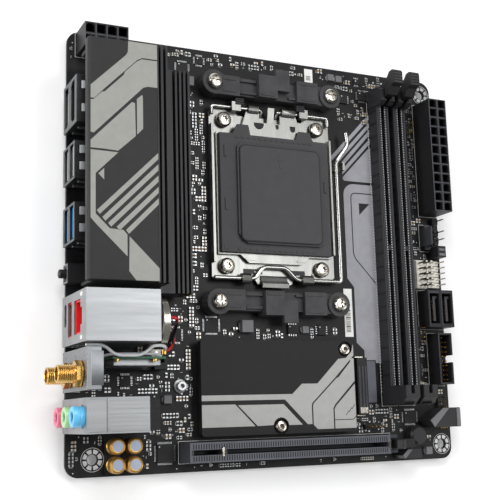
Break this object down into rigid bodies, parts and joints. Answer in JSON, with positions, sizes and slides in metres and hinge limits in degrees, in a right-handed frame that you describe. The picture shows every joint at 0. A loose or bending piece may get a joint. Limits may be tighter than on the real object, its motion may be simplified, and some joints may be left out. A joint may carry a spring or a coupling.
{
  "type": "motherboard",
  "caption": "Small-form desktop computer motherboard with processor socket, memory slots, graphics slot, power connectors, rear ports and heatsinks.",
  "frame": {"origin": "middle of the assembly's box, at the bottom (underside of the cooler backplate)", "axes": "+Z out of the component side, +X from the rear-port edge towards the main power connector, +Y from the graphics slot towards the processor socket's edge"},
  "size_m": [0.1806, 0.17, 0.0369],
  "materials": {
    "solder_mask": "matte black solder mask over woven laminate",
    "black_plastic": "moulded black nylon, fine grain",
    "shroud_paint": "satin charcoal paint with silver-grey printed bands",
    "anodised_black": "black anodised extrusion",
    "plated_steel": "nickel plated spring steel, satin",
    "dark_steel": "black coated steel",
    "screw_nickel": "bright nickel plated",
    "port_shell": "tin plated sheet",
    "bracket_grey": "grey passivated steel",
    "gold_plate": "gold plated brass",
    "capacitor_gold": "gold sleeve with a plain aluminium top",
    "pink_plastic": "moulded pink",
    "green_plastic": "moulded pale green",
    "blue_plastic": "moulded light blue",
    "red_wire": "red insulation",
    "white_wire": "pale grey insulation",
    "radio_card": "green laminate with a steel can",
    "header_white": "white nylon base with plated pins"
  },
  "bodies": {
    "motherboard": {"pcb": "solder_mask", "cooler_backplate": "dark_steel", "io_shroud": "shroud_paint", "vrm_heatsink": "anodised_black", "m2_heatsink": "anodised_black", "eps_connector": "black_plastic", "flash_button_housing": "black_plastic", "wifi_socket": "black_plastic", "audio_jack_block": "black_plastic", "socket_housing": "black_plastic", "cooler_bracket_top": "black_plastic", "cooler_bracket_bottom": "black_plastic", "memory_slot_1": "black_plastic", "memory_slot_2": "black_plastic", "atx_connector": "black_plastic", "pcie_slot": "black_plastic", "m2_connector": "black_plastic", "sata_ports": "black_plastic", "usb3_header": "black_plastic", "fan_header": "black_plastic", "display_port_stack": "port_shell", "usb2_stack": "port_shell", "usb3_stack": "port_shell", "lan_usb_stack": "port_shell", "audio_shield": "port_shell", "wifi_bracket": "bracket_grey", "antenna_connector_lower": "gold_plate", "antenna_connector_upper": "gold_plate", "wifi_module": "radio_card", "antenna_lead": "white_wire", "mic_jack": "pink_plastic", "line_out_jack": "green_plastic", "line_in_jack": "blue_plastic", "audio_capacitor_1": "capacitor_gold", "socket_screw_1": "screw_nickel", "bracket_screw_1": "screw_nickel", "audio_capacitor_2": "capacitor_gold", "socket_screw_2": "screw_nickel", "bracket_screw_2": "screw_nickel", "audio_capacitor_3": "capacitor_gold", "socket_screw_3": "screw_nickel", "bracket_screw_3": "screw_nickel", "audio_capacitor_4": "capacitor_gold", "socket_screw_4": "screw_nickel", "bracket_screw_4": "screw_nickel", "coin_cell": "screw_nickel", "m2_screw_1": "screw_nickel", "m2_screw_2": "screw_nickel", "battery_lead": "red_wire", "socket_frame": "plated_steel", "hinge_wire_left": "plated_steel", "hinge_wire_right": "plated_steel", "front_panel_header": "header_white"},
    "load_lever": {"load_lever": "plated_steel"},
    "load_plate": {"load_plate": "plated_steel"},
    "socket_cap": {"socket_cap": "black_plastic"},
    "memory_latch_1": {"memory_latch_1": "black_plastic"},
    "memory_latch_2": {"memory_latch_2": "black_plastic"},
    "pcie_latch": {"pcie_latch": "black_plastic"},
    "flash_button": {"flash_button": "screw_nickel"}
  },
  "joints": [
    {"name": "load_lever_hinge", "type": "hinge", "parent": "motherboard", "child": "load_lever", "pos_m": [0.00505, -0.0104, 0.0078], "axis": [1, 0, 0], "range_deg": [0, 115]},
    {"name": "load_plate_hinge", "type": "hinge", "parent": "motherboard", "child": "load_plate", "pos_m": [0.00505, 0.0606, 0.0076], "axis": [-1, 0, 0], "range_deg": [0, 105]},
    {"name": "socket_cap_lift", "type": "slide", "parent": "load_plate", "child": "socket_cap", "axis": [0, 0, 1], "range_m": [0, 0.03]},
    {"name": "memory_latch_1_hinge", "type": "hinge", "parent": "motherboard", "child": "memory_latch_1", "pos_m": [0.05885, 0.0736, 0.007], "axis": [-1, 0, 0], "range_deg": [0, 30]},
    {"name": "memory_latch_2_hinge", "type": "hinge", "parent": "motherboard", "child": "memory_latch_2", "pos_m": [0.06765, 0.0736, 0.007], "axis": [-1, 0, 0], "range_deg": [0, 30]},
    {"name": "pcie_latch_hinge", "type": "hinge", "parent": "motherboard", "child": "pcie_latch", "pos_m": [0.05435, -0.0776, 0.0076], "axis": [0, 1, 0], "range_deg": [0, 25]},
    {"name": "flash_button_press", "type": "slide", "parent": "motherboard", "child": "flash_button", "axis": [1, 0, 0], "range_m": [0, 0.0008], "stiffness_N_per_m": 1500}
  ]
}
